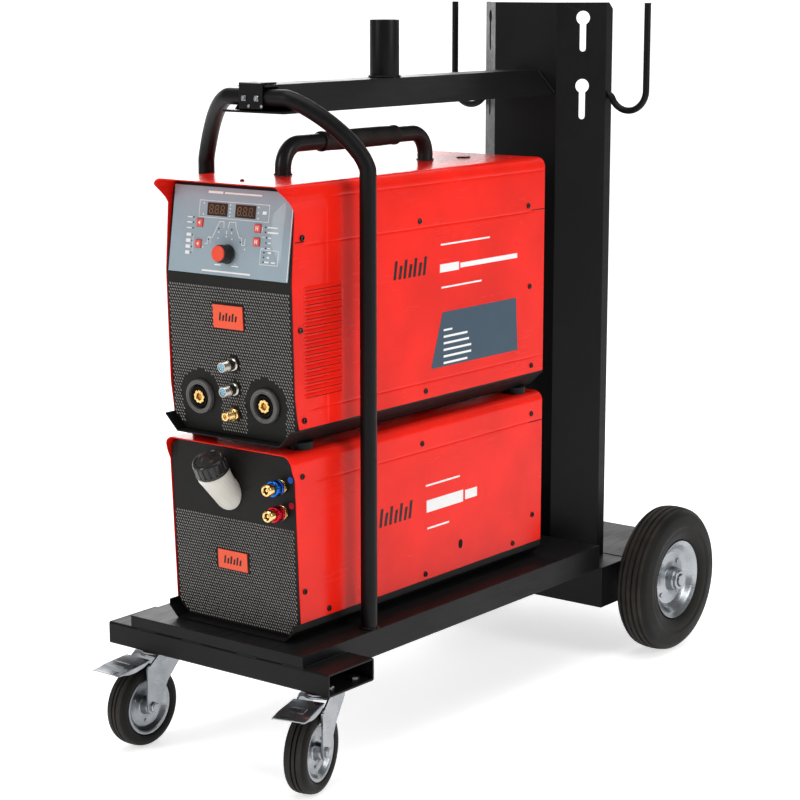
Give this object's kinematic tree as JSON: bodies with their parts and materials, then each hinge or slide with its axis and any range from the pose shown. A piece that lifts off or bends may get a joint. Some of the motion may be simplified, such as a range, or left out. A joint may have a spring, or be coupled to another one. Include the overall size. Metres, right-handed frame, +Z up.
{
  "type": "tig welder",
  "caption": "Inverter TIG welding machine on a cooling unit, carried on a wheeled cart with a guard hoop, swivel casters, a bottle platform and a boom post.",
  "frame": {"origin": "on the floor, under the middle of the bounding box", "axes": "+Z up; -Y towards the front with the control panel; +X to the right as seen from the front"},
  "size_m": [0.495, 1.1311, 1.104],
  "materials": {
    "cart_black": "satin powder coat",
    "case_red": "gloss enamel",
    "chassis_black": "satin powder coat",
    "moulded_black": "fine moulded texture",
    "fascia_slate": "printed film",
    "display_lens": "smoked window",
    "button_red": "moulded",
    "zinc": "bright zinc plating",
    "aluminium": "as extruded",
    "brass": "turned",
    "tyre": "solid rubber",
    "rubber": "soft grip",
    "tank_white": "translucent moulding",
    "sleeve_blue": "anodised",
    "sleeve_red": "anodised"
  },
  "bodies": {
    "cart": {"front_beam": "cart_black", "tray": "cart_black", "axle_box": "cart_black", "column": "cart_black", "top_bar": "cart_black", "boom_post": "cart_black", "hoop": "cart_black", "hoop_clamp": "cart_black", "cable_hook_left": "cart_black", "cable_hook_right": "cart_black", "rear_axle": "zinc", "caster_left_plate": "zinc", "caster_right_plate": "zinc", "welder_cover": "case_red", "welder_chassis": "chassis_black", "welder_front_panel": "moulded_black", "control_fascia": "fascia_slate", "display_left": "display_lens", "display_right": "display_lens", "current_socket_minus": "moulded_black", "current_socket_plus": "moulded_black", "remote_socket": "zinc", "torch_socket": "zinc", "gas_outlet": "brass", "carrying_handle": "moulded_black", "handle_grip": "rubber", "mains_gland": "moulded_black", "power_module": "aluminium", "cooler_cover": "case_red", "cooler_chassis": "chassis_black", "cooler_front_panel": "chassis_black", "coolant_tank": "tank_white", "supply_coupling": "brass", "return_coupling": "brass", "coolant_pump": "aluminium", "radiator": "aluminium"},
    "caster_left_swivel": {"caster_left_fork": "zinc"},
    "caster_left_brake": {"caster_left_pedal": "zinc"},
    "caster_left_wheel": {"caster_left_tyre": "tyre", "caster_left_rim": "zinc"},
    "caster_right_swivel": {"caster_right_fork": "zinc"},
    "caster_right_brake": {"caster_right_pedal": "zinc"},
    "caster_right_wheel": {"caster_right_tyre": "tyre", "caster_right_rim": "zinc"},
    "rear_left_wheel": {"rear_left_tyre": "tyre", "rear_left_rim": "zinc"},
    "rear_right_wheel": {"rear_right_tyre": "tyre", "rear_right_rim": "zinc"},
    "knob": {"control_knob": "moulded_black"},
    "pulse_key": {"pulse_button": "button_red"},
    "mode_key": {"mode_button": "button_red"},
    "store_key": {"store_button": "button_red"},
    "process_key": {"process_button": "button_red"},
    "supply_ring": {"supply_sleeve": "sleeve_blue"},
    "return_ring": {"return_sleeve": "sleeve_red"},
    "cap": {"filler_cap": "moulded_black"},
    "switch": {"main_switch": "button_red"},
    "welder_rotor": {"welder_fan": "moulded_black"},
    "cooler_rotor": {"cooler_fan": "moulded_black"}
  },
  "joints": [
    {"name": "caster_left_turn", "type": "hinge", "parent": "cart", "child": "caster_left_swivel", "pos_m": [-0.1615, -0.4463, 0.1409], "axis": [0, 0, 1], "continuous": true},
    {"name": "caster_left_press", "type": "hinge", "parent": "caster_left_swivel", "child": "caster_left_brake", "pos_m": [-0.1615, -0.5083, 0.133], "axis": [1, 0, 0], "range_deg": [0, 18]},
    {"name": "caster_left_spin", "type": "hinge", "parent": "caster_left_swivel", "child": "caster_left_wheel", "pos_m": [-0.1615, -0.4848, 0.0625], "axis": [1, 0, 0], "continuous": true},
    {"name": "caster_right_turn", "type": "hinge", "parent": "cart", "child": "caster_right_swivel", "pos_m": [0.1615, -0.4463, 0.1409], "axis": [0, 0, 1], "continuous": true},
    {"name": "caster_right_press", "type": "hinge", "parent": "caster_right_swivel", "child": "caster_right_brake", "pos_m": [0.17692, -0.50635, 0.133], "axis": [0.9686, 0.2487, 0], "range_deg": [0, 18]},
    {"name": "caster_right_spin", "type": "hinge", "parent": "caster_right_swivel", "child": "caster_right_wheel", "pos_m": [0.17108, -0.48359, 0.0625], "axis": [0.9686, 0.2487, 0], "continuous": true},
    {"name": "rear_left_spin", "type": "hinge", "parent": "cart", "child": "rear_left_wheel", "pos_m": [-0.215, 0.4215, 0.125], "axis": [1, 0, 0], "continuous": true},
    {"name": "rear_right_spin", "type": "hinge", "parent": "cart", "child": "rear_right_wheel", "pos_m": [0.215, 0.4215, 0.125], "axis": [1, 0, 0], "continuous": true},
    {"name": "knob_turn", "type": "hinge", "parent": "cart", "child": "knob", "pos_m": [-0.001, -0.45437, 0.757], "axis": [0, -0.989, 0.1478], "continuous": true},
    {"name": "pulse_press", "type": "slide", "parent": "cart", "child": "pulse_key", "axis": [0, 0.989, -0.1478], "range_m": [0, 0.001], "stiffness_N_per_m": 300},
    {"name": "mode_press", "type": "slide", "parent": "cart", "child": "mode_key", "axis": [0, 0.989, -0.1478], "range_m": [0, 0.001], "stiffness_N_per_m": 300},
    {"name": "store_press", "type": "slide", "parent": "cart", "child": "store_key", "axis": [0, 0.989, -0.1478], "range_m": [0, 0.001], "stiffness_N_per_m": 300},
    {"name": "process_press", "type": "slide", "parent": "cart", "child": "process_key", "axis": [0, 0.989, -0.1478], "range_m": [0, 0.001], "stiffness_N_per_m": 300},
    {"name": "supply_release", "type": "slide", "parent": "cart", "child": "supply_ring", "axis": [0, 1, 0], "range_m": [0, 0.003], "stiffness_N_per_m": 400},
    {"name": "return_release", "type": "slide", "parent": "cart", "child": "return_ring", "axis": [0, 1, 0], "range_m": [0, 0.003], "stiffness_N_per_m": 400},
    {"name": "cap_turn", "type": "hinge", "parent": "cart", "child": "cap", "pos_m": [-0.0105, -0.4825, 0.4437], "axis": [0, -0.454, 0.891], "range_deg": [0, 540]},
    {"name": "switch_turn", "type": "hinge", "parent": "cart", "child": "switch", "pos_m": [-0.065, 0.1688, 0.8], "axis": [0, 1, 0], "range_deg": [0, 90]},
    {"name": "welder_fan_spin", "type": "hinge", "parent": "cart", "child": "welder_rotor", "pos_m": [0, 0.1505, 0.7], "axis": [0, 1, 0], "continuous": true},
    {"name": "cooler_fan_spin", "type": "hinge", "parent": "cart", "child": "cooler_rotor", "pos_m": [0, 0.1505, 0.35], "axis": [0, 1, 0], "continuous": true}
  ]
}
